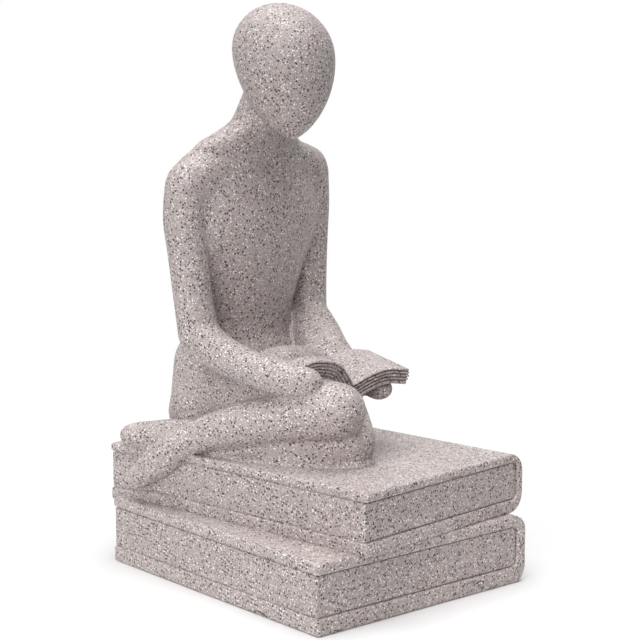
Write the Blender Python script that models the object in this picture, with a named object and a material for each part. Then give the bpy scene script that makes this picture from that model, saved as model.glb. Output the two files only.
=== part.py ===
"""A faceless figure reads a small open book, side-sitting on a stack of two closed books.

The whole work is one casting. Metres, +Z up. The origin is the middle of the lower book's
underside, X runs across the books towards their spines, and the figure faces -Y.
"""
import math

import bmesh
import bpy
from mathutils import Matrix, Vector

# The lower book: across, along, and the three layers of its height
LOWER_WIDTH = 0.1190
LOWER_LENGTH = 0.1425
LOWER_BACK_COVER = 0.0073
LOWER_PAGES = 0.0178
LOWER_FRONT_COVER = 0.0048
LOWER_SPINE_ROUND = 0.0070
LOWER_SPINE_WALL = 0.0052

# The upper book, and the place of its near corner from the lower book's near corner
UPPER_WIDTH = 0.1030
UPPER_LENGTH = 0.1555
UPPER_BACK_COVER = 0.0058
UPPER_PAGES = 0.0166
UPPER_FRONT_COVER = 0.0038
UPPER_SPINE_ROUND = 0.0085
UPPER_SPINE_WALL = 0.0038
UPPER_SHIFT_X = 0.0209
UPPER_SHIFT_Y = -0.0052
UPPER_TURN = math.radians(6.4)

# What both closed books share
COVER_ROUND = 0.0016
PAGES_ROUND = 0.0030
PAGES_BELOW_COVER = 0.0009
GROOVE_WIDTH = 0.0006
GROOVE_DEPTH = 0.0010
SINK = 0.0003
ROUND_STEPS = 5

# The figure: its height from the seat, and its seat's place on the upper book
FIGURE_HEIGHT = 0.1938
FIGURE_FROM_FORE_EDGE = 0.0515
FIGURE_FROM_FAR_EDGE = 0.0360

# The figure's drawing is in millimetres for this height: left of the seat, behind it and above it
DRAWN_HEIGHT = 193.8
HEAD_CROWN = (0, -19.8, 193.8)
HEAD_CHIN = (0, -29.4, 134.6)
HEAD_HALF_WIDTH = 21.2
HEAD_HALF_DEPTH = 23.8
HEAD_WIDEST = 0.394
HEAD_STEPS = 28

# How the figure's overlapping forms are melted into one skin
VOXEL = 0.0014
SMOOTH_ROUNDS = 12
KEPT_SHARE = 0.074
RING_SIDES = 24
STEPS_BETWEEN = 4

# The small open book: how long its two halves are, their thickness, and its turn in the lap
LEFT_PAGE_LENGTH = 0.0305
RIGHT_PAGE_LENGTH = 0.0200
BLOCK_THICKNESS = 0.0070
LEAF_COUNT = 5
LEAF_GAP = 0.0004
LEAF_STEP = 0.0004
BOOK_TURN = math.radians(-12.3)
BOOK_PITCH = math.radians(8.0)
BOOK_ROLL = math.radians(7.3)

# The page edges of the open book in the figure's drawing, from the gutter outwards and up
GUTTER = (-7.4, -72.7, 31.7)
RIGHT_PAGE = [(0, 0), (-3.2, 4.2), (-7.5, 8.4), (-14.5, 10.2), (-26.2, 7.9)]
LEFT_PAGE = [(0, 0), (5.5, 3.2), (11, 5.8), (18.5, 7.6), (28.8, 7.2)]
PAGE_STEPS = 2

# How far the two halves reach past the gutter line into each other
GUTTER_LAP = 0.15

UNIT = FIGURE_HEIGHT / DRAWN_HEIGHT


def closed_mesh(name, mesh_builder, *sizes):
    """A named object from a builder that fills a bmesh with one closed body."""
    work = bmesh.new()
    mesh_builder(work, *sizes)
    bmesh.ops.recalc_face_normals(work, faces=work.faces)
    mesh = bpy.data.meshes.new(name)
    work.to_mesh(mesh)
    work.free()
    result = bpy.data.objects.new(name, mesh)
    return result


def extrude_outline(work, outline, start, end, rounding):
    """A prism along Y from an outline in X and Z, its two rims softened."""
    corners = [work.verts.new((x, start, z)) for x, z in outline]
    face = work.faces.new(corners)
    moved = bmesh.ops.extrude_face_region(work, geom=[face])["geom"]
    far = [item for item in moved if isinstance(item, bmesh.types.BMVert)]
    bmesh.ops.translate(work, verts=far, vec=(0, end - start, 0))
    if rounding > 0:
        rims = [e for e in work.edges if abs(e.verts[0].co.y - e.verts[1].co.y) < 1e-6]
        bmesh.ops.bevel(work, geom=rims, offset=rounding, segments=2, profile=0.5, affect="EDGES",
                        clamp_overlap=True)


def round_end(tip, low, high, corner):
    """Points up an end at X = tip, straight between its two rounded corners."""
    turns = [math.pi / 2 * i / ROUND_STEPS for i in range(ROUND_STEPS + 1)]
    x = tip - corner
    lower = [(x + corner * math.sin(a), low + corner - corner * math.cos(a)) for a in turns]
    upper = [(x + corner * math.cos(a), high - corner + corner * math.sin(a)) for a in turns]
    return lower + upper


def case_outline(width, back, pages, front, spine_round, spine_wall):
    """The cover as one band: the back board, the rounded spine and the front board."""
    top = back + pages + front
    outer = round_end(width, 0, top, spine_round)
    inner = round_end(width - spine_wall, back, back + pages, PAGES_ROUND)
    inner.reverse()
    r = COVER_ROUND
    quarter = [math.radians(d) for d in (0, 30, 60, 90)]
    front_edge = [(r - r * math.sin(a), top - r + r * math.cos(a)) for a in quarter]
    back_edge = [(r - r * math.cos(a), r - r * math.sin(a)) for a in quarter]
    return back_edge + outer + front_edge + [(0, back + pages)] + inner + [(0, back)]


def block_outline(end, low, high, fore_edge, margin):
    """The page block's section: square at the fore-edge, its spine end round-cornered."""
    round_part = round_end(end - margin, low + margin, high - margin, PAGES_ROUND)
    return [(fore_edge, low + margin)] + round_part + [(fore_edge, high - margin)]


def closed_book(name, width, length, back, pages, front, spine_round, spine_wall):
    """One closed book as three bodies: its case, its page block, and the groove's floor."""
    low = back
    high = back + pages
    end = width - spine_wall
    recess = PAGES_BELOW_COVER
    deep = recess + GROOVE_DEPTH
    case = closed_mesh(name + "_case", extrude_outline,
                       case_outline(width, back, pages, front, spine_round, spine_wall),
                       0, length, COVER_ROUND / 3)
    block = closed_mesh(name + "_block", extrude_outline,
                        block_outline(end, low, high, recess, GROOVE_WIDTH),
                        recess, length - recess, 0)
    floor = closed_mesh(name + "_groove_floor", extrude_outline,
                        block_outline(end, low, high, deep, -SINK), deep, length - deep, 0)
    return [case, block, floor]


def between(before, start, end, after, t):
    """The Catmull-Rom value between start and end at t from 0 to 1."""
    a = 2 * start
    b = end - before
    c = 2 * before - 5 * start + 4 * end - after
    d = 3 * start - before - 3 * end + after
    return (a + b * t + c * t * t + d * t * t * t) / 2


def filled_in(stations):
    """The stations with smooth steps between them."""
    result = []
    last = len(stations) - 1
    for i in range(last):
        four = [stations[max(i - 1, 0)], stations[i], stations[i + 1], stations[min(i + 2, last)]]
        for step in range(STEPS_BETWEEN):
            t = step / STEPS_BETWEEN
            result.append([between(*values, t) for values in zip(*four)])
    result.append(list(stations[last]))
    return result


def skin(work, rings):
    """Closed skin over a row of rings, with a flat cap on each end."""
    for first, second in zip(rings, rings[1:]):
        for i in range(RING_SIDES):
            j = (i + 1) % RING_SIDES
            work.faces.new((first[i], first[j], second[j], second[i]))
    work.faces.new(list(reversed(rings[0])))
    work.faces.new(rings[-1])


def ring(work, centre, side, front, half_width, half_depth):
    """One oval ring round a centre, in the plane of the side and front directions."""
    points = []
    for i in range(RING_SIDES):
        angle = 2 * math.pi * i / RING_SIDES
        spread = side * half_width * math.cos(angle) + front * half_depth * math.sin(angle)
        points.append(work.verts.new((centre + spread) * UNIT))
    return points


def upright(work, stations):
    """Level rings: each station is left, back, up, half width and half depth."""
    rings = []
    for x, y, z, half_width, half_depth in filled_in(stations):
        rings.append(ring(work, Vector((x, y, z)), Vector((1, 0, 0)), Vector((0, 1, 0)),
                          half_width, half_depth))
    skin(work, rings)


def limb(work, stations, flatness=1.0):
    """Rings square to a bent path: each station is left, back, up and half width.

    Both ends are domes. The flatness is the section's height as a share of its width.
    """
    path = filled_in(stations)
    centres = [Vector(p[:3]) for p in path]
    sizes = [p[3] for p in path]
    first_way = (centres[1] - centres[0]).normalized()
    last_way = (centres[-1] - centres[-2]).normalized()
    rows = []
    for degrees in (80, 60, 40, 20):
        a = math.radians(degrees)
        rows.append((centres[0] - first_way * sizes[0] * math.sin(a), first_way, sizes[0] * math.cos(a)))
    for i, centre in enumerate(centres):
        way = centres[min(i + 1, len(centres) - 1)] - centres[max(i - 1, 0)]
        rows.append((centre, way.normalized(), sizes[i]))
    for degrees in (20, 40, 60, 80):
        a = math.radians(degrees)
        rows.append((centres[-1] + last_way * sizes[-1] * math.sin(a), last_way, sizes[-1] * math.cos(a)))
    rings = []
    for centre, way, size in rows:
        across = Vector((0, 0, 1)) if abs(way.z) < 0.85 else Vector((0, 1, 0))
        side = way.cross(across).normalized()
        front = side.cross(way).normalized()
        rings.append(ring(work, centre, side, front, size, size * flatness))
    skin(work, rings)


def head_share(t):
    """How wide the egg-shaped head is, from the crown at 0 to the chin at 1."""
    if t < HEAD_WIDEST:
        reach = 1 - t / HEAD_WIDEST
        return math.sqrt(max(1 - reach * reach, 0))
    reach = (t - HEAD_WIDEST) / (1 - HEAD_WIDEST)
    return max(1 - reach * reach, 0) ** 0.75


def head(work):
    """The head is one smooth egg, its narrow end the chin, with no features."""
    crown = Vector(HEAD_CROWN)
    chin = Vector(HEAD_CHIN)
    rings = []
    for i in range(1, HEAD_STEPS):
        t = (1 - math.cos(math.pi * i / HEAD_STEPS)) / 2
        size = head_share(t)
        rings.append(ring(work, crown.lerp(chin, t), Vector((1, 0, 0)), Vector((0, 1, 0)),
                          HEAD_HALF_WIDTH * size, HEAD_HALF_DEPTH * size))
    skin(work, rings)


def torso(work):
    """Seat, hips, waist, chest, shoulders and neck as one column of level ovals."""
    upright(work, [
        (0, 2, -3, 27, 21),
        (0, 2, 7, 34, 27),
        (0, 2, 20, 36, 28),
        (0, 1, 33, 33, 25),
        (0, 0, 46, 27, 20),
        (0, 0, 58, 23.5, 17),
        (0, 0, 66, 24, 17),
        (0, 0, 78, 28.5, 18.5),
        (0, 0, 91, 35.5, 20),
        (0, 0, 100, 38.5, 20),
        (0, 0, 112, 38, 18.5),
        (0, 0, 124, 34, 15),
        (1, -2, 132, 28, 12.5),
        (1, -4, 137, 19.5, 11.5),
        (0, -7, 142, 12.8, 11.3),
        (0, -10, 148, 11.4, 11.2),
        (0, -15, 156, 11, 11),
        (0, -20, 166, 9, 9),
    ])


def arms(work):
    """Both arms hang from the shoulders, and the forearms meet at the small book."""
    limb(work, [
        (-34.5, 0.5, 115.5, 10.5), (-21, 0, 119.8, 12.5), (0, -1, 120.5, 14),
        (21, -1, 121.8, 12.5), (37.5, -0.5, 119, 10.5),
    ])
    limb(work, [
        (-35.5, 0.5, 114, 10.5), (-37.8, 0.5, 100, 9.8), (-38.5, -1.8, 84, 8.8),
        (-37.8, -5, 64, 8.7), (-37, -8, 50, 9.2),
    ])
    limb(work, [
        (-37, -8, 50, 8.8), (-37.5, -20, 44, 8.4), (-37.8, -36, 40, 7.8),
        (-36.5, -52, 38, 7.3), (-34, -62, 37.5, 7.3), (-31.5, -68.5, 37, 6.4),
    ])
    limb(work, [
        (38, -0.5, 117.5, 10.6), (39.3, -0.5, 102, 10), (39, -1, 84, 9),
        (37.8, -2, 66, 8.9), (36.2, -4, 53, 9),
    ])
    limb(work, [
        (36.2, -4, 53, 8.6), (32, -15, 44.5, 8.2), (24.5, -30, 37.5, 7.2),
        (18, -48, 32.5, 6.8), (15.5, -60, 28.8, 6.8), (12.5, -69.5, 26.8, 5.8),
    ], 0.85)
    limb(work, [
        (-33, -44, 37, 8), (-21, -41, 37, 8.5), (-8, -37, 33.5, 9), (5, -32, 30, 9),
    ])


def legs(work):
    """The knees point forwards, one on the other, and both calves fold back to the right."""
    limb(work, [
        (-17, -4, 20, 19), (-20, -25, 22, 17.5), (-23, -50, 24, 15), (-24, -75, 24.5, 12.5),
    ])
    limb(work, [
        (-24, -77, 24.5, 12.4), (-31.5, -61, 21, 11.5), (-38.5, -42, 15.5, 9.8),
        (-44.5, -27, 11, 8.4), (-48, -17, 7, 7.2),
    ])
    limb(work, [
        (18, -4, 20, 20), (14, -28, 21, 18), (1, -53, 17, 15.5), (-16, -77, 11.5, 11.2),
    ])
    limb(work, [
        (-17, -78, 10.5, 11), (-26, -60, 9.5, 9.5), (-33, -41, 8, 8.5),
        (-38.5, -24, 6.5, 7.2), (-42, -10, 6, 6.4),
    ])


def feet(work):
    """The right foot hangs over the fore-edge, and the left one lies on the cover behind it."""
    limb(work, [
        (-48, -17, 7, 7.2), (-50, -9, 3, 7.8), (-52, -2.5, -3, 7.8), (-53.2, 5.5, -8.7, 6.8),
        (-54, 13, -14, 5.4),
    ])
    limb(work, [
        (-42, -10, 6, 6.4), (-44.5, 1, 5.4, 6.4), (-47, 11, 4, 5.6), (-49, 19, 2.6, 4.8),
        (-49.5, 24.5, 1.4, 3.8),
    ])


def whole_figure(work):
    """Every part of the body, overlapping, before they are melted into one skin."""
    torso(work)
    head(work)
    arms(work)
    legs(work)
    feet(work)


def page_curve(points):
    """A page's edge from the gutter outwards, smooth through its few points."""
    result = []
    last = len(points) - 1
    for i in range(last):
        four = [points[max(i - 1, 0)], points[i], points[i + 1], points[min(i + 2, last)]]
        for step in range(PAGE_STEPS):
            t = step / PAGE_STEPS
            result.append(tuple(between(*values, t) for values in zip(*four)))
    result.append(points[last])
    return result


def opened_curve(depth):
    """Both pages' edges in one row from end to end, sunk by a depth square to the paper."""
    row = list(reversed(page_curve(RIGHT_PAGE))) + page_curve(LEFT_PAGE)[1:]
    sunk = []
    for i, (x, z) in enumerate(row):
        x_before, z_before = row[max(i - 1, 0)]
        x_after, z_after = row[min(i + 1, len(row) - 1)]
        way = math.hypot(x_after - x_before, z_after - z_before)
        sunk.append((x + depth * (z_after - z_before) / way, z - depth * (x_after - x_before) / way))
    return sunk


def leaf(work, top_depth, low_depth, start, end, on_left, inset):
    """A band of one page block between two depths, from its near end to its far end."""
    top = opened_curve(top_depth)
    low = opened_curve(low_depth)
    gutter = len(top) // 2
    if on_left:
        top = top[gutter:]
        low = low[gutter:]
    else:
        top = top[:gutter + 1]
        low = low[:gutter + 1]
    shift = -inset - GUTTER_LAP if on_left else inset + GUTTER_LAP
    outline = [((x + shift) * UNIT, z * UNIT) for x, z in top + list(reversed(low))]
    extrude_outline(work, outline, start, end, 0)


def small_book():
    """The open book's two page blocks, and the leaves that stand a little proud of them."""
    depth = BLOCK_THICKNESS / UNIT
    gap = LEAF_GAP / UNIT
    pitch = depth / LEAF_COUNT
    bodies = []
    for side, on_left, length in (("left", True, LEFT_PAGE_LENGTH), ("right", False, RIGHT_PAGE_LENGTH)):
        bodies.append(closed_mesh("small_book_%s_block" % side, leaf, gap, depth - gap,
                                  LEAF_STEP, length - LEAF_STEP, on_left, LEAF_STEP / UNIT))
        for i in range(LEAF_COUNT):
            low_depth = pitch * (i + 1) - gap * (i < LEAF_COUNT - 1)
            bodies.append(closed_mesh("small_book_%s_leaf_%d" % (side, i + 1), leaf, pitch * i,
                                      low_depth, 0, length, on_left, 0))
    turned = Matrix.Rotation(BOOK_TURN, 4, "Z") @ Matrix.Rotation(BOOK_PITCH, 4, "X")
    place = Matrix.Translation(Vector(GUTTER) * UNIT) @ turned @ Matrix.Rotation(BOOK_ROLL, 4, "Y")
    for body in bodies:
        body.matrix_world = place
    return bodies


def cast_resin():
    """Matt resin filled with fine stone grains, of a warm grey."""
    material = bpy.data.materials.new("cast_resin")
    material.use_nodes = True
    shader = material.node_tree.nodes["Principled BSDF"]
    shader.inputs["Base Color"].default_value = (0.43, 0.37, 0.35, 1)
    shader.inputs["Roughness"].default_value = 0.75
    shader.inputs["Metallic"].default_value = 0
    return material


def main():
    """The figure's melted skin, joined with every body of the three books."""
    for old in list(bpy.data.objects):
        bpy.data.objects.remove(old)
    near_corner = Matrix.Translation((-LOWER_WIDTH / 2, -LOWER_LENGTH / 2, 0))
    lower_top = LOWER_BACK_COVER + LOWER_PAGES + LOWER_FRONT_COVER
    upper_place = near_corner @ Matrix.Translation((UPPER_SHIFT_X, UPPER_SHIFT_Y, lower_top - SINK))
    upper_place = upper_place @ Matrix.Rotation(UPPER_TURN, 4, "Z")
    upper_top = UPPER_BACK_COVER + UPPER_PAGES + UPPER_FRONT_COVER
    seat = Matrix.Translation((FIGURE_FROM_FORE_EDGE, UPPER_LENGTH - FIGURE_FROM_FAR_EDGE, upper_top))
    figure_place = upper_place @ seat

    lower = closed_book("lower", LOWER_WIDTH, LOWER_LENGTH, LOWER_BACK_COVER, LOWER_PAGES,
                        LOWER_FRONT_COVER, LOWER_SPINE_ROUND, LOWER_SPINE_WALL)
    upper = closed_book("upper", UPPER_WIDTH, UPPER_LENGTH, UPPER_BACK_COVER, UPPER_PAGES,
                        UPPER_FRONT_COVER, UPPER_SPINE_ROUND, UPPER_SPINE_WALL)
    small = small_book()
    for body in lower:
        body.matrix_world = near_corner
    for body in upper:
        body.matrix_world = upper_place
    for body in small:
        body.matrix_world = figure_place @ body.matrix_world

    joined = bpy.data.collections.new("joined_bodies")
    bpy.context.scene.collection.children.link(joined)
    for body in lower + upper + small:
        joined.objects.link(body)
        body.hide_render = True
        body.display_type = "WIRE"

    statue = closed_mesh("reading_figure_on_books", whole_figure)
    bpy.context.scene.collection.objects.link(statue)
    statue.matrix_world = figure_place
    statue.data.materials.append(cast_resin())
    statue.data.shade_smooth()
    melt = statue.modifiers.new("melt", "REMESH")
    melt.mode = "VOXEL"
    melt.voxel_size = VOXEL
    melt.use_smooth_shade = True
    soften = statue.modifiers.new("soften", "SMOOTH")
    soften.factor = 0.5
    soften.iterations = SMOOTH_ROUNDS
    thin = statue.modifiers.new("thin", "DECIMATE")
    thin.ratio = KEPT_SHARE
    join = statue.modifiers.new("join", "BOOLEAN")
    join.operation = "UNION"
    join.solver = "EXACT"
    join.operand_type = "COLLECTION"
    join.collection = joined


main()
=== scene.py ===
import math

import bmesh
import bpy
from mathutils import Matrix, Vector


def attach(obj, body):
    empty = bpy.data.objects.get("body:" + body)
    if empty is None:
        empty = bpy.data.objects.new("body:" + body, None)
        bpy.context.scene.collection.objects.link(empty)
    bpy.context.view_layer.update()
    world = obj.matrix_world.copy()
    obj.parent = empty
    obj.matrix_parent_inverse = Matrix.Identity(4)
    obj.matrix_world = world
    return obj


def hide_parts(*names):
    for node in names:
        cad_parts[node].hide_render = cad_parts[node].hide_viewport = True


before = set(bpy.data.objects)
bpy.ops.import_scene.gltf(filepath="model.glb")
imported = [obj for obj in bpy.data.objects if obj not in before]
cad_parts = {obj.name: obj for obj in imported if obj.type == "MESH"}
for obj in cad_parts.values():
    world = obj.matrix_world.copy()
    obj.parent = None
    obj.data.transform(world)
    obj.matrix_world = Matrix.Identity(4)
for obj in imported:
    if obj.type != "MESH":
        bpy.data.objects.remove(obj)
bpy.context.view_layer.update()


# The lower closed book, which the whole statue stands on. The real one is cast resin: a cover
# that wraps round a rounded spine, and a block of pages set a little way inside its boards,
# with a thin groove all round it and the faint lines of the leaves cast into its three faces.
LOWER_WIDTH = 0.1190
LOWER_LENGTH = 0.1425
LOWER_BACK_BOARD = 0.0073
LOWER_PAGES = 0.0178
LOWER_FRONT_BOARD = 0.0048
LOWER_SPINE_ROUND = 0.0070
LOWER_SPINE_WALL = 0.0052
BOARD_EDGE_ROUND = 0.0011
PAGES_SPINE_ROUND = 0.0030
PAGES_BEHIND_FORE_EDGE = 0.0003
PAGES_BEHIND_ENDS = 0.0011
GROOVE_WIDTH = 0.00040
GROOVE_DEPTH = 0.0008
FORE_GROOVE_DEPTH = 0.00065
PAGES_EDGE_ROUND = 0.0004
LEAF_PITCH = 0.00115
LEAF_LINE_WIDTH = 0.00010
LEAF_LINE_DEPTH = 0.00013
OUTER_LINE_DEPTH = 0.00035
LAP = 0.0003
SPINE_STEPS = 8
BOARD_STEPS = 4
FINE_STEPS = 2
SHARP_ANGLE = math.radians(40)
NEAR = 1e-5


def box_between(name, low, high):
    """A cube primitive drawn out to fill the space from one corner to the other."""
    bpy.ops.object.select_all(action="DESELECT")
    middle = [(a + b) / 2 for a, b in zip(low, high)]
    bpy.ops.mesh.primitive_cube_add(size=1, location=middle)
    body = bpy.context.object
    body.name = name
    body.scale = [b - a for a, b in zip(low, high)]
    bpy.ops.object.transform_apply(location=True, rotation=True, scale=True)
    return body


def edit(body):
    """Opens the body alone in edit mode."""
    bpy.ops.object.select_all(action="DESELECT")
    bpy.context.view_layer.objects.active = body
    body.select_set(True)
    bpy.ops.object.mode_set(mode="EDIT")


def pick_edges(body, wanted):
    """In edit mode, selects the edges whose two ends both pass the test."""
    bpy.ops.mesh.select_mode(type="EDGE")
    bpy.ops.mesh.select_all(action="DESELECT")
    work = bmesh.from_edit_mesh(body.data)
    for edge in work.edges:
        edge.select_set(wanted(edge.verts[0].co) and wanted(edge.verts[1].co))
    bmesh.update_edit_mesh(body.data)


def pick_points(body, wanted):
    """In edit mode, selects the points that pass the test."""
    bpy.ops.mesh.select_mode(type="VERT")
    bpy.ops.mesh.select_all(action="DESELECT")
    work = bmesh.from_edit_mesh(body.data)
    for point in work.verts:
        point.select_set(wanted(point.co))
    bmesh.update_edit_mesh(body.data)


def apply_modifier(body, kind, **settings):
    """Adds one modifier with its settings and applies it at once."""
    bpy.ops.object.select_all(action="DESELECT")
    bpy.context.view_layer.objects.active = body
    body.select_set(True)
    modifier = body.modifiers.new(kind.lower(), kind)
    for setting, value in settings.items():
        setattr(modifier, setting, value)
    bpy.ops.object.modifier_apply(modifier=modifier.name)


def soften(body, width, steps):
    """Rounds every sharp edge of the body."""
    apply_modifier(body, "BEVEL", width=width, segments=steps, limit_method="ANGLE",
                   angle_limit=SHARP_ANGLE)


def round_spine_end(body, tip, corner):
    """Rounds the two long edges at X = tip."""
    edit(body)
    pick_edges(body, lambda co: abs(co.x - tip) < NEAR)
    work = bmesh.from_edit_mesh(body.data)
    for edge in work.edges:
        along = abs(edge.verts[0].co.y - edge.verts[1].co.y) > NEAR
        edge.select_set(edge.select and along)
    bmesh.update_edit_mesh(body.data)
    bpy.ops.mesh.bevel(offset=corner, segments=SPINE_STEPS, affect="EDGES")
    bpy.ops.object.mode_set(mode="OBJECT")


def book_cover(name, width, length, thickness, back, front, spine_round, spine_wall):
    """The cover: a rounded block, hollowed from the fore-edge to near the spine for the pages."""
    cover = box_between(name, (0, 0, 0), (width, length, thickness))
    round_spine_end(cover, width, spine_round)
    hollow = box_between(name + "_hollow", (-length, -length, back),
                         (width - spine_wall, 2 * length, thickness - front))
    round_spine_end(hollow, width - spine_wall, PAGES_SPINE_ROUND)
    apply_modifier(cover, "BOOLEAN", operation="DIFFERENCE", solver="EXACT", object=hollow)
    bpy.data.objects.remove(hollow)
    soften(cover, BOARD_EDGE_ROUND, BOARD_STEPS)
    return cover


def page_block(name, end, length, low, high):
    """The pages: a block with softened edges and a shallow line cast in between its leaves.

    The outermost two lines are deeper on the two ends, as a frame round the leaves.
    """
    fore = PAGES_BEHIND_FORE_EDGE
    near = PAGES_BEHIND_ENDS
    bottom = low + GROOVE_WIDTH
    top = high - GROOVE_WIDTH
    block = box_between(name, (fore, near, bottom), (end - GROOVE_WIDTH, length - near, top))
    round_spine_end(block, end - GROOVE_WIDTH, PAGES_SPINE_ROUND)
    soften(block, PAGES_EDGE_ROUND, FINE_STEPS)
    leaves = round((top - bottom) / LEAF_PITCH)
    heights = [bottom + (top - bottom) * i / leaves for i in range(1, leaves)]
    edit(block)
    for height in heights:
        bpy.ops.mesh.select_all(action="SELECT")
        bpy.ops.mesh.bisect(plane_co=(0, 0, height), plane_no=(0, 0, 1))

    def on_a_line(co):
        return min(abs(co.z - height) for height in heights) < NEAR

    def on_outer_line(co):
        return min(abs(co.z - heights[0]), abs(co.z - heights[-1])) < NEAR

    pick_edges(block, on_a_line)
    bpy.ops.mesh.bevel(offset=LEAF_LINE_WIDTH, segments=FINE_STEPS, affect="EDGES")
    middle = ((fore + end) / 2, length / 2, (bottom + top) / 2)
    for wanted, deep_fore, deep_ends in ((on_a_line, LEAF_LINE_DEPTH, LEAF_LINE_DEPTH),
                                         (on_outer_line, 0, OUTER_LINE_DEPTH)):
        pick_points(block, wanted)
        across = 1 - 2 * deep_fore / (end - fore)
        along = 1 - 2 * deep_ends / (length - 2 * near)
        bpy.ops.transform.resize(value=(across, along, 1), center_override=middle)
    bpy.ops.object.mode_set(mode="OBJECT")
    return block


def closed_book(name, width, length, back, pages, front, spine_round, spine_wall):
    """One closed book as its cover, its page block and the floor of the groove between them.

    The groove is a little shallower along the fore-edge than on the two ends.
    """
    end = width - spine_wall
    deep_fore = PAGES_BEHIND_FORE_EDGE + FORE_GROOVE_DEPTH
    deep_ends = PAGES_BEHIND_ENDS + GROOVE_DEPTH
    cover = book_cover(name + "_cover", width, length, back + pages + front, back, front,
                       spine_round, spine_wall)
    block = page_block(name + "_pages", end, length, back, back + pages)
    floor = box_between(name + "_groove_floor", (deep_fore, deep_ends, back - LAP),
                        (end + LAP, length - deep_ends, back + pages + LAP))
    return [cover, block, floor]


def put(bodies, place):
    """Moves and turns bodies to their place, and settles it into their meshes."""
    bpy.ops.object.select_all(action="DESELECT")
    for body in bodies:
        body.matrix_world = place
        body.select_set(True)
    bpy.context.view_layer.objects.active = bodies[0]
    bpy.ops.object.transform_apply(location=True, rotation=True, scale=True)


near_corner = Matrix.Translation((-LOWER_WIDTH / 2, -LOWER_LENGTH / 2, 0))
lower_book = closed_book("lower_book", LOWER_WIDTH, LOWER_LENGTH, LOWER_BACK_BOARD, LOWER_PAGES,
                         LOWER_FRONT_BOARD, LOWER_SPINE_ROUND, LOWER_SPINE_WALL)
put(lower_book, near_corner)


# The upper closed book lies on the lower one, turned a few degrees and a little nearer the
# front. It is narrower and longer, its far corner hangs a little on the fore-edge side, and the
# statue was cast with the two of them as one.
UPPER_WIDTH = 0.1030
UPPER_LENGTH = 0.1555
UPPER_BACK_BOARD = 0.0058
UPPER_PAGES = 0.0166
UPPER_FRONT_BOARD = 0.0038
UPPER_SPINE_ROUND = 0.0085
UPPER_SPINE_WALL = 0.0038
UPPER_SHIFT_X = 0.0209
UPPER_SHIFT_Y = -0.0052
UPPER_TURN = math.radians(6.4)
CORNER_DROP = 0.0029
DROP_REACH = 0.036
DROP_STEPS = 6


def corner_hangs(body, length):
    """Lets the far corner of the fore-edge hang a little, more and more towards its tip."""
    edit(body)
    for i in range(1, DROP_STEPS):
        away = DROP_REACH * i / DROP_STEPS
        for place, way in (((away, 0, 0), (1, 0, 0)), ((0, length - away, 0), (0, 1, 0))):
            bpy.ops.mesh.select_all(action="SELECT")
            bpy.ops.mesh.bisect(plane_co=place, plane_no=way)
    corner = 2 * BOARD_EDGE_ROUND
    pick_points(body, lambda co: co.x < corner and co.y > length - corner)
    bpy.ops.transform.translate(value=(0, 0, -CORNER_DROP), use_proportional_edit=True,
                                proportional_edit_falloff="SMOOTH", proportional_size=DROP_REACH)
    bpy.ops.object.mode_set(mode="OBJECT")


lower_top = LOWER_BACK_BOARD + LOWER_PAGES + LOWER_FRONT_BOARD
upper_top = UPPER_BACK_BOARD + UPPER_PAGES + UPPER_FRONT_BOARD
upper_place = near_corner @ Matrix.Translation((UPPER_SHIFT_X, UPPER_SHIFT_Y, lower_top - LAP))
upper_place = upper_place @ Matrix.Rotation(UPPER_TURN, 4, "Z")
upper_book = closed_book("upper_book", UPPER_WIDTH, UPPER_LENGTH, UPPER_BACK_BOARD, UPPER_PAGES,
                         UPPER_FRONT_BOARD, UPPER_SPINE_ROUND, UPPER_SPINE_WALL)
for body in upper_book:
    corner_hangs(body, UPPER_LENGTH)
put(upper_book, upper_place)


# The figure sits on the upper book with both knees forward and both feet folded to its right.
# The real one was sculpted smooth, with no features, fingers or clothes. Each form is drawn
# out of a disc in millimetres, ring by ring, and all of them are melted into one soft skin.
FIGURE_HEIGHT = 0.1938
FIGURE_FROM_FORE_EDGE = 0.0515
FIGURE_FROM_FAR_EDGE = 0.0360
DRAWN_HEIGHT = 193.8
UNIT = FIGURE_HEIGHT / DRAWN_HEIGHT
RING_SIDES = 40
DOME_DEGREES = (80, 60, 40, 20)
STEPS_BETWEEN = 5
HEAD_CROWN = Vector((0.8, -20.4, 193.6))
HEAD_CHIN = Vector((0, -29.2, 134.1))
HEAD_HALF_WIDTH = 21.2
HEAD_HALF_DEPTH = 23.8
HEAD_WIDEST = 0.372
JAW_FULLNESS = 1.9
CHIN_BLUNTNESS = 0.7
HEAD_STEPS = 40
SKIN_GRAIN = 0.0009
SKIN_ROUNDS = 10
SKIN_KEPT = 0.42


def between(before, start, end, after, t):
    """The smooth value between start and end at t from 0 to 1, with its neighbours' slopes."""
    slope = end - before
    bend = 2 * before - 5 * start + 4 * end - after
    twist = 3 * start - before - 3 * end + after
    return (2 * start + slope * t + bend * t * t + twist * t * t * t) / 2


def smooth_row(stations, steps):
    """The stations with smooth steps between them."""
    row = []
    last = len(stations) - 1
    for i in range(last):
        four = [stations[max(i - 1, 0)], stations[i], stations[i + 1], stations[min(i + 2, last)]]
        for step in range(steps):
            row.append([between(*values, step / steps) for values in zip(*four)])
    row.append(list(stations[last]))
    return row


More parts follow.
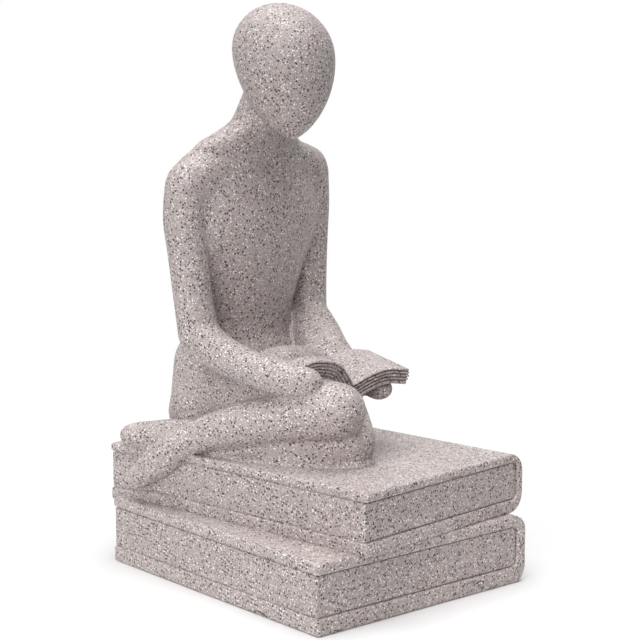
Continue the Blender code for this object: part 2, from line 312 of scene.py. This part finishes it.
def drawn_out(name, rings, flatness=1.0):
    """A body drawn ring by ring out of one disc, by extruding, scaling and turning its face.

    A ring is its centre, the way it faces, its half width and its half depth.
    """
    bpy.ops.object.select_all(action="DESELECT")
    centre, way, width, depth = rings[0]
    bpy.ops.mesh.primitive_circle_add(vertices=RING_SIDES, radius=1, fill_type="NGON",
                                      location=centre * UNIT,
                                      rotation=way.to_track_quat("Z", "Y").to_euler())
    body = bpy.context.object
    body.name = name
    body.scale = (width * UNIT, depth * flatness * UNIT, 1)
    bpy.ops.object.transform_apply(location=True, rotation=True, scale=True)
    edit(body)
    bpy.ops.mesh.select_mode(type="FACE")
    bpy.ops.mesh.select_all(action="SELECT")
    for new_centre, new_way, new_width, new_depth in rings[1:]:
        here = new_centre * UNIT
        bpy.ops.mesh.extrude_region_move(
            TRANSFORM_OT_translate={"value": (new_centre - centre) * UNIT})
        wider = new_width / width
        bpy.ops.transform.resize(value=(wider, new_depth / depth, wider), center_override=here)
        turn = way.angle(new_way)
        if turn > NEAR:
            axis = way.cross(new_way).normalized()
            side = axis.orthogonal().normalized()
            about = Matrix((side, axis.cross(side), axis)).transposed()
            bpy.ops.transform.rotate(value=-turn, orient_axis="Z", center_override=here,
                                     orient_matrix=about)
        centre, way, width, depth = new_centre, new_way, new_width, new_depth
    bpy.ops.mesh.select_all(action="SELECT")
    bpy.ops.mesh.normals_make_consistent(inside=False)
    bpy.ops.object.mode_set(mode="OBJECT")
    return body


def upright(name, stations):
    """A body of level ovals: each station is left, back, up, half width and half depth."""
    up = Vector((0, 0, 1))
    row = smooth_row(stations, STEPS_BETWEEN)
    return drawn_out(name, [(Vector(s[:3]), up, s[3], s[4]) for s in row])


def limb(name, stations, flatness=1.0):
    """A round form along a bent path with domed ends: a station is left, back, up and half width."""
    row = smooth_row(stations, STEPS_BETWEEN)
    centres = [Vector(s[:3]) for s in row]
    first_way = (centres[1] - centres[0]).normalized()
    last_way = (centres[-1] - centres[-2]).normalized()
    rings = []
    for degrees in DOME_DEGREES:
        a = math.radians(degrees)
        size = row[0][3]
        rings.append((centres[0] - first_way * size * math.sin(a), first_way, size * math.cos(a)))
    for i, centre in enumerate(centres):
        way = centres[min(i + 1, len(centres) - 1)] - centres[max(i - 1, 0)]
        rings.append((centre, way.normalized(), row[i][3]))
    for degrees in reversed(DOME_DEGREES):
        a = math.radians(degrees)
        size = row[-1][3]
        rings.append((centres[-1] + last_way * size * math.sin(a), last_way, size * math.cos(a)))
    return drawn_out(name, [(centre, way, size, size) for centre, way, size in rings], flatness)


def egg():
    """The head: one smooth egg, crown to chin, with no features at all."""
    up = Vector((0, 0, 1))
    rings = []
    for i in range(1, HEAD_STEPS):
        t = (1 - math.cos(math.pi * i / HEAD_STEPS)) / 2
        if t < HEAD_WIDEST:
            share = math.sqrt(max(1 - (1 - t / HEAD_WIDEST) ** 2, 0))
        else:
            towards_chin = (t - HEAD_WIDEST) / (1 - HEAD_WIDEST)
            share = max(1 - towards_chin ** JAW_FULLNESS, 0) ** CHIN_BLUNTNESS
        centre = HEAD_CROWN.lerp(HEAD_CHIN, t)
        rings.append((centre, up, HEAD_HALF_WIDTH * share, HEAD_HALF_DEPTH * share))
    return drawn_out("head", rings)


body_forms = [
    upright("torso", [
        (0, 2, -3, 27, 21), (-1, 3, 7, 35.5, 29), (-0.5, 2.3, 20, 36, 28), (0, 4, 30, 33, 28),
        (0, 5.5, 38, 30.5, 25.5), (0, 4.5, 47, 26, 20.5), (0.5, 1, 58, 25.3, 16.8),
        (1, 0.5, 66, 27.3, 17.5), (1.5, 0, 78, 31.3, 19), (2, 0, 91, 38, 20.3), (2.3, 0, 100, 40, 20.5),
        (2, 0, 112, 38.3, 18.5), (1, 0, 124, 34.5, 15),
        (0.5, -2, 132, 30.5, 12.8), (0.5, -4, 137, 20.6, 11.6), (0.3, -7, 142, 12.4, 11),
        (0.2, -10, 148, 10.8, 10.6), (0, -15, 156, 10.6, 10.6), (0, -20, 166, 9, 9),
    ]),
    egg(),
    limb("shoulders", [
        (-33.5, 0.5, 115.5, 10.5), (-20.5, 0, 120.2, 12.7), (0, -1, 120.8, 14),
        (21.5, -1, 121.8, 12.5), (38.5, -0.5, 119, 10.5),
    ]),
    limb("right_upper_arm", [
        (-34.4, 0.5, 114, 10.5), (-36.6, 0.5, 100, 9.8), (-37.3, -1.8, 84, 8.8),
        (-37.2, -5, 64, 8.7), (-37, -8, 50, 9.2),
    ]),
    limb("right_armpit", [
        (-29, -0.5, 114, 10.5), (-30, -0.5, 108, 10), (-30.5, -0.5, 102, 8.5),
    ]),
    limb("left_armpit", [
        (32, -0.5, 114, 10.5), (34, -0.5, 109, 10),
    ]),
    limb("right_forearm", [
        (-37, -8, 50, 8.8), (-37.5, -20, 44, 8.4), (-37.8, -36, 40, 7.8),
        (-37.3, -52, 37.5, 7.6), (-35.8, -62.5, 36.5, 7.6), (-33, -69.5, 35.5, 6.7),
    ]),
    limb("left_upper_arm", [
        (39.1, -0.5, 117.5, 10.6), (40.5, -0.5, 102, 10), (40.2, -1, 84, 9),
        (38.6, -2, 66, 8.9), (36.4, -4, 53, 9),
    ]),
    limb("left_forearm", [
        (36, -4, 53, 9.2), (28, -17, 45, 11.3), (19.8, -31.5, 38.8, 10.8),
        (17.2, -47, 32.3, 8.2), (15.5, -60, 28.8, 7.4), (12.5, -69.5, 26.8, 6.2),
    ], 0.75),
    limb("lap", [
        (-33, -44, 37, 8), (-21, -41, 37.2, 9.2), (-8, -37, 34.8, 10), (6, -32, 32.3, 10),
        (14, -27, 31, 9),
    ]),
    limb("lap_front", [
        (-30, -58, 35.5, 7.6), (-20, -57, 35.8, 8), (-11, -56, 33.8, 7.8), (-4, -54, 30.5, 7),
    ]),
    limb("right_thigh", [
        (-17, -4, 20, 19), (-20, -25, 22, 17.5), (-22.5, -50, 22.8, 14.3), (-24.5, -77, 23.9, 12.1),
    ]),
    limb("right_calf", [
        (-24.5, -79, 23.9, 12), (-31.2, -61, 20, 10.9), (-38.5, -42, 15.5, 9.8),
        (-44.5, -27, 11, 8.4), (-48, -17, 7, 7.2),
    ]),
    limb("left_thigh", [
        (18, -4, 20, 20), (14, -28, 21, 18), (3, -52, 16, 13.6), (-13.8, -76.5, 9.4, 10.9),
    ]),
    limb("left_calf", [
        (-16.2, -78, 7.4, 10.8), (-27.6, -60, 3.8, 8.8), (-34.8, -41, 2.8, 7.3),
        (-40, -25, 3.5, 6.8), (-42.5, -10, 5, 6.6),
    ]),
    limb("calf_sinking_in", [
        (-16.6, -77, 0, 12.6), (-28, -60, 0, 11.6), (-35.5, -41, 0, 10.5), (-40, -26, 0, 8),
    ], 0.3),
    limb("right_foot", [
        (-48, -17, 7, 7.2), (-50, -9, 3, 7.8), (-52, -2.5, -3, 7.8), (-53.2, 5.5, -8.7, 6.8),
        (-53.6, 15, -15, 5.1),
    ]),
    limb("left_foot", [
        (-42, -10, 6, 6.8), (-45, 1, 5, 7), (-48, 11, 3.8, 6.6), (-50, 19, 2.8, 6),
        (-50.5, 23, 2.4, 5),
    ]),
    limb("between_feet", [
        (-43.5, -17, 1.5, 6), (-46, -6, 2, 6), (-48.5, 2, 0, 5.6), (-50, 9, -2, 4.5),
    ]),
]
bpy.ops.object.select_all(action="DESELECT")
for form in body_forms:
    form.select_set(True)
figure = body_forms[0]
bpy.context.view_layer.objects.active = figure
bpy.ops.object.join()
figure.name = "figure"
apply_modifier(figure, "REMESH", mode="VOXEL", voxel_size=SKIN_GRAIN)
apply_modifier(figure, "SMOOTH", factor=0.5, iterations=SKIN_ROUNDS)
apply_modifier(figure, "DECIMATE", ratio=SKIN_KEPT)
seat = upper_place @ Matrix.Translation(
    (FIGURE_FROM_FORE_EDGE, UPPER_LENGTH - FIGURE_FROM_FAR_EDGE, upper_top))
put([figure], seat)


# The small open book lies in the lap, between the two hands. Its two halves of thick leaves
# curve up and away from the gutter, and their outer ends are a little rounded. It was cast
# with the figure, each leaf a band with a deep line between it and the next.
LEFT_HALF_LENGTH = 0.0305
RIGHT_HALF_LENGTH = 0.0085
LEFT_LEAVES = 5
RIGHT_LEAVES = 6
THICK_LEAF = 0.0014
LEAF_GAP = 0.0006
GAP_DEPTH = 0.0011
LEAF_EDGE_ROUND = 0.0003
OUTER_ROUND_MM = 0.9
OUTER_GAP_MM = 0.15
GUTTER = Vector((-7.4, -72.7, 31.7))
GUTTER_LAP_MM = 0.15
BOOK_TURN = math.radians(-12.3)
BOOK_PITCH = math.radians(8.0)
BOOK_ROLL = math.radians(7.3)
RIGHT_PAGE = [(0, 0), (-3.6, 4.2), (-8.5, 8.4), (-15.5, 10.2), (-23, 9.8), (-29.5, 7.4)]
LEFT_PAGE = [(0, 0), (5.5, 3.2), (11, 5.8), (18.5, 7.8), (29.7, 7.7)]
PAGE_STEPS = 6


def curved_leaf(name, page, outwards, low, high, start, end):
    """A band of paper from one depth to another under a page's curve, drawn out from the gutter.

    Outwards is 1 for the half on the figure's left and -1 for the half on its right.
    """
    curve = smooth_row(page, PAGE_STEPS)
    points = []
    for i, (x, z) in enumerate(curve):
        x_before, z_before = curve[max(i - 1, 0)]
        x_after, z_after = curve[min(i + 1, len(curve) - 1)]
        way = Vector((x_after - x_before, 0, z_after - z_before)).normalized() * outwards
        down = Vector((way.z, 0, -way.x))
        middle = Vector((x, 0, z)) + down * (low + high) / 2
        points.append((Vector((middle.x - outwards * GUTTER_LAP_MM, 0, middle.z)) * UNIT, way))
    half_depth = (high - low) * UNIT / 2

    # Of a box only the face towards +X is kept, and the leaf is drawn out of that.
    leaf = box_between(name, (-0.5, start, -half_depth), (0.5, end, half_depth))
    edit(leaf)
    bpy.ops.mesh.select_mode(type="FACE")
    bpy.ops.mesh.select_all(action="DESELECT")
    work = bmesh.from_edit_mesh(leaf.data)
    for face in work.faces:
        face.select_set(face.normal.x < 0.5)
    bmesh.update_edit_mesh(leaf.data)
    bpy.ops.mesh.delete(type="FACE")
    bpy.ops.mesh.select_all(action="SELECT")
    bpy.ops.transform.translate(value=(-0.5, 0, 0))
    centre = Vector((0, 0, 0))
    way = Vector((1, 0, 0))
    for i, (new_centre, new_way) in enumerate(points):
        if i > 0:
            bpy.ops.mesh.extrude_region_move(TRANSFORM_OT_translate={"value": new_centre - centre})
        else:
            bpy.ops.transform.translate(value=new_centre - centre)
        turn = math.atan2(way.z, way.x) - math.atan2(new_way.z, new_way.x)
        bpy.ops.transform.rotate(value=-turn, orient_axis="Y", center_override=new_centre)
        centre, way = new_centre, new_way
    bpy.ops.mesh.select_all(action="SELECT")
    bpy.ops.mesh.normals_make_consistent(inside=False)
    bpy.ops.object.mode_set(mode="OBJECT")
    return leaf


def shortened(page, outwards, amount):
    """The page's curve with its outer end brought in."""
    x, z = page[-1]
    return page[:-1] + [(x - outwards * amount, z)]


def half_of_leaves(name, page, outwards, length, leaves):
    """One half of the open book: its leaves, and the core that fills the gaps behind them."""
    gap = LEAF_GAP / UNIT
    pitch = THICK_LEAF / UNIT
    bodies = [curved_leaf(name + "_core", shortened(page, outwards, OUTER_GAP_MM), outwards, gap,
                          pitch * leaves - gap, GAP_DEPTH, length - GAP_DEPTH)]
    for i in range(leaves):
        low_side = pitch * (i + 1) - gap * (i < leaves - 1)
        from_middle = 2 * i / (leaves - 1) - 1
        own_page = shortened(page, outwards, OUTER_ROUND_MM * from_middle ** 2)
        leaf = curved_leaf("%s_leaf_%d" % (name, i + 1), own_page, outwards, pitch * i, low_side,
                           0, length)
        soften(leaf, LEAF_EDGE_ROUND, FINE_STEPS)
        bodies.append(leaf)
    return bodies


small_book = half_of_leaves("left_half", LEFT_PAGE, 1, LEFT_HALF_LENGTH, LEFT_LEAVES)
small_book += half_of_leaves("right_half", RIGHT_PAGE, -1, RIGHT_HALF_LENGTH, RIGHT_LEAVES)
turned = Matrix.Rotation(BOOK_TURN, 4, "Z") @ Matrix.Rotation(BOOK_PITCH, 4, "X")
put(small_book, seat @ Matrix.Translation(GUTTER * UNIT) @ turned @ Matrix.Rotation(BOOK_ROLL, 4, "Y"))


# The one casting. There is no seam or glue line anywhere on the real statue, so every form
# above is joined into a single closed skin, which stands for the CAD solid.
MERGE_WITHIN = 1e-6
CREASE_ANGLE = math.radians(35)

cast_forms = bpy.data.collections.new("cast_forms")
bpy.context.scene.collection.children.link(cast_forms)
for body in lower_book + upper_book + small_book:
    cast_forms.objects.link(body)
apply_modifier(figure, "BOOLEAN", operation="UNION", solver="EXACT", operand_type="COLLECTION",
               collection=cast_forms)
for body in lower_book + upper_book + small_book:
    bpy.data.objects.remove(body)
bpy.data.collections.remove(cast_forms)
figure.name = "reading_figure_statue"
statue = figure
edit(statue)
bpy.ops.mesh.select_all(action="SELECT")
bpy.ops.mesh.remove_doubles(threshold=MERGE_WITHIN)
bpy.ops.object.mode_set(mode="OBJECT")
bpy.ops.object.shade_smooth_by_angle(angle=CREASE_ANGLE)
apply_modifier(statue, "WEIGHTED_NORMAL", keep_sharp=True)
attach(statue, "root")
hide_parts("reading_figure_on_books")


# The finish: matt resin filled with crushed stone, warm grey with a breath of pink. Grains of
# white and near-black, half a millimetre to a millimetre across, lie in it everywhere, with
# finer ones between them and a few of rust.
GREY = (0.497, 0.432, 0.424, 1)
PINKER = (0.533, 0.446, 0.430, 1)
SHADED = (0.360, 0.306, 0.295, 1)
WHITE_STONE = (0.98, 0.97, 0.95, 1)
DARK_STONE = (0.009, 0.007, 0.007, 1)
RUST_STONE = (0.24, 0.095, 0.045, 1)
DARK_STONE_SHARE = 0.34
WHITE_STONE_SHARE = 0.36
RUST_AMONG_DARK = 0.07
FINE_WHITE_SHARE = 0.33
FINE_DARK_SHARE = 0.36
RAGGED_BY = 0.0004
RAGS_PER_METRE = 1800
CELLS_TILTED = (0.6, 0.5, 0.4)
PATCHES_PER_METRE = 28
PATCH_CONTRAST = 2.2
MOTTLES_PER_METRE = 1100
MOTTLE_CONTRAST = 2.0
SHINE_SPOTS_PER_METRE = 900
ROUGHNESS = 0.46
ROUGHNESS_SPREAD = 0.16
WHITE_SMOOTHER_BY = 0.10
BUMPS_PER_METRE = 1500
BUMP_DEPTH = 0.00008
BUMP_STRENGTH = 0.25
DARK_SUNK_BY = 0.35
GLOSS = 0.5


class Tone:
    """A value on its way through the material's nodes, with arithmetic that adds Math nodes."""

    def __init__(self, tree, socket):
        self.tree = tree
        self.socket = socket

    def node(self, kind, settings, inputs, output=0):
        """Adds one node, sets its settings and then its sockets, and gives one of its outputs."""
        made = self.tree.nodes.new(kind)
        for setting, value in settings.items():
            setattr(made, setting, value)
        for name, value in inputs.items():
            if isinstance(value, Tone):
                self.tree.links.new(value.socket, made.inputs[name])
            else:
                made.inputs[name].default_value = value
        return Tone(self.tree, made.outputs[output])

    def worked_out(self, operation, first, second):
        """Adds one Math node with its two values."""
        return self.node("ShaderNodeMath", {"operation": operation}, {0: first, 1: second})

    def __add__(self, other):
        return self.worked_out("ADD", self, other)

    def __sub__(self, other):
        return self.worked_out("SUBTRACT", self, other)

    def __rsub__(self, other):
        return self.worked_out("SUBTRACT", other, self)

    def __mul__(self, other):
        return self.worked_out("MULTIPLY", self, other)

    def __lt__(self, other):
        return self.worked_out("LESS_THAN", self, other)

    def __gt__(self, other):
        return self.worked_out("GREATER_THAN", self, other)

    __radd__ = __add__
    __rmul__ = __mul__

    def clipped(self):
        """The value held between 0 and 1."""
        return self.node("ShaderNodeClamp", {}, {"Value": self})

    def mixed(self, colour, share):
        """This colour with another mixed into it by a share from 0 to 1."""
        return self.node("ShaderNodeMix", {"data_type": "RGBA"}, {0: share, 6: self, 7: colour}, 2)


resin = bpy.data.materials.new("cast_resin")
resin.use_nodes = True
tree = resin.node_tree
shader = tree.nodes["Principled BSDF"]
where = Tone(tree, tree.nodes.new("ShaderNodeTexCoord").outputs["Object"])

# The places of the stones are shaken, so that no stone is a clean ball, and tilted, so that the
# rows of cells don't show on the flat faces of the books.
ragged = where.node("ShaderNodeTexNoise", {}, {"Vector": where, "Scale": RAGS_PER_METRE,
                                               "Detail": 1}, "Color")
ragged = ragged.node("ShaderNodeVectorMath", {"operation": "SUBTRACT"}, {0: ragged, 1: (0.5, 0.5, 0.5)})
ragged = ragged.node("ShaderNodeVectorMath", {"operation": "SCALE"}, {0: ragged, "Scale": RAGGED_BY})
shaken = ragged.node("ShaderNodeVectorMath", {"operation": "ADD"}, {0: where, 1: ragged})
shaken = shaken.node("ShaderNodeVectorRotate", {"rotation_type": "EULER_XYZ"},
                     {"Vector": shaken, "Rotation": CELLS_TILTED})


def noise(scale, detail, roughness=0.5):
    """Soft noise from 0 to 1, its scale in patches per metre."""
    return where.node("ShaderNodeTexNoise", {}, {"Vector": where, "Scale": scale, "Detail": detail,
                                                 "Roughness": roughness}, "Fac")


def stones(cell, smallest, spread, edge):
    """Where the stones lie, one to a cell, and three random numbers for each.

    A stone's half width is a share of its cell, and a higher edge makes its outline sharper.
    """
    cells = {"Vector": shaken, "Scale": 1 / cell}
    near = where.node("ShaderNodeTexVoronoi", {}, cells, "Distance")
    kind = where.node("ShaderNodeTexVoronoi", {}, cells, "Color")
    parts = tree.nodes.new("ShaderNodeSeparateColor")
    tree.links.new(kind.socket, parts.inputs[0])
    chance = [Tone(tree, output) for output in parts.outputs]
    return ((chance[1] * spread + smallest - near) * edge).clipped(), chance


def contrast(tone, times):
    """The tone with its swings about the middle made larger."""
    return ((tone - 0.5) * times + 0.5).clipped()


in_dark, dark = stones(cell=0.00104, smallest=0.32, spread=0.18, edge=34)
in_white, white = stones(cell=0.00098, smallest=0.25, spread=0.15, edge=30)
in_fine, fine = stones(cell=0.00056, smallest=0.29, spread=0.14, edge=14)
is_dark = in_dark * (dark[0] < DARK_STONE_SHARE)
is_white = in_white * (white[0] < WHITE_STONE_SHARE)
is_rust = is_dark * (dark[2] > 1 - RUST_AMONG_DARK)
fine_white = in_fine * (fine[0] < FINE_WHITE_SHARE)
fine_dark = in_fine * (fine[0] > 1 - FINE_DARK_SHARE)

# Each layer of colour covers what is under it nearly fully where its stones lie.
patches = contrast(noise(PATCHES_PER_METRE, 2), PATCH_CONTRAST)
mottle = contrast(noise(MOTTLES_PER_METRE, 3, 0.7), MOTTLE_CONTRAST)
base = where.node("ShaderNodeMix", {"data_type": "RGBA"}, {0: patches, 6: GREY, 7: PINKER}, 2)
base = base.mixed(SHADED, mottle * 0.9)
base = base.mixed(WHITE_STONE, fine_white * 0.9)
base = base.mixed(DARK_STONE, fine_dark * 0.95)
base = base.mixed(WHITE_STONE, is_white * 0.95)
base = base.mixed(DARK_STONE, is_dark * 0.97)
base = base.mixed(RUST_STONE, is_rust * 0.9)
tree.links.new(base.socket, shader.inputs["Base Color"])

shine = noise(SHINE_SPOTS_PER_METRE, 2) * ROUGHNESS_SPREAD + ROUGHNESS - is_white * WHITE_SMOOTHER_BY
tree.links.new(shine.clipped().socket, shader.inputs["Roughness"])
height = noise(BUMPS_PER_METRE, 3, 0.6) - is_dark * DARK_SUNK_BY
bumped = where.node("ShaderNodeBump", {}, {"Strength": BUMP_STRENGTH, "Distance": BUMP_DEPTH,
                                           "Height": height}, "Normal")
tree.links.new(bumped.socket, shader.inputs["Normal"])
shader.inputs["Metallic"].default_value = 0
shader.inputs["Specular IOR Level"].default_value = GLOSS
statue.data.materials.clear()
statue.data.materials.append(resin)


# The studio: a round of pale paper as the floor and three broad soft lights, one above, one
# low on the figure's right and one in front of it on that side. The white all round is seen
# behind the statue and in its gloss, but it lights no shade.
FLOOR_RADIUS = 0.5
FLOOR_SIDES = 64
FLOOR_GREY = 0.80
FLOOR_ROUGHNESS = 0.9
CAMERA_PLACE = (-0.4991, -0.5855, 0.2315)
CAMERA_TURN = (math.radians(81.22), 0, math.radians(-40.58))
CAMERA_LENS = 100.5
CAMERA_SENSOR = 36
CAMERA_NEAREST = 0.01

bpy.ops.object.select_all(action="DESELECT")
bpy.ops.mesh.primitive_circle_add(vertices=FLOOR_SIDES, radius=FLOOR_RADIUS, fill_type="NGON",
                                  location=(0, 0, 0))
floor = bpy.context.object
floor.name = "studio_floor"
paper = bpy.data.materials.new("studio_floor")
paper.use_nodes = True
paper_shader = paper.node_tree.nodes["Principled BSDF"]
paper_shader.inputs["Base Color"].default_value = (FLOOR_GREY, FLOOR_GREY, FLOOR_GREY, 1)
paper_shader.inputs["Roughness"].default_value = FLOOR_ROUGHNESS
floor.data.materials.append(paper)


def soft_light(name, comes_from, spread, power):
    """A broad light from far away, as soft as the angle in degrees that it spreads over."""
    bpy.ops.object.light_add(type="SUN", location=(0, 0, 1))
    lamp = bpy.context.object
    lamp.name = name
    lamp.data.angle = math.radians(spread)
    lamp.data.energy = power
    lamp.rotation_euler = (-Vector(comes_from)).to_track_quat("-Z", "Y").to_euler()


soft_light("softbox_above", (0, 0, 1), 60, 3.42)
soft_light("softbox_left", (-1.0, 0, 0.25), 50, 1.06)
soft_light("softbox_front", (-0.8, -0.7, 0.6), 50, 0.92)

room = bpy.data.worlds.new("studio_room")
room.use_nodes = True
room_nodes = room.node_tree.nodes
backdrop = room_nodes["Background"]
backdrop.inputs["Color"].default_value = (1, 1, 1, 1)
rays = room_nodes.new("ShaderNodeLightPath")
fill = Tone(room.node_tree, rays.outputs["Is Diffuse Ray"])
room.node_tree.links.new((1 - fill).socket, backdrop.inputs["Strength"])
bpy.context.scene.world = room
bpy.context.scene.view_settings.view_transform = "Standard"

bpy.ops.object.camera_add(location=CAMERA_PLACE, rotation=CAMERA_TURN)
camera = bpy.context.object
camera.data.sensor_width = CAMERA_SENSOR
camera.data.lens = CAMERA_LENS
camera.data.clip_start = CAMERA_NEAREST
bpy.context.scene.camera = camera
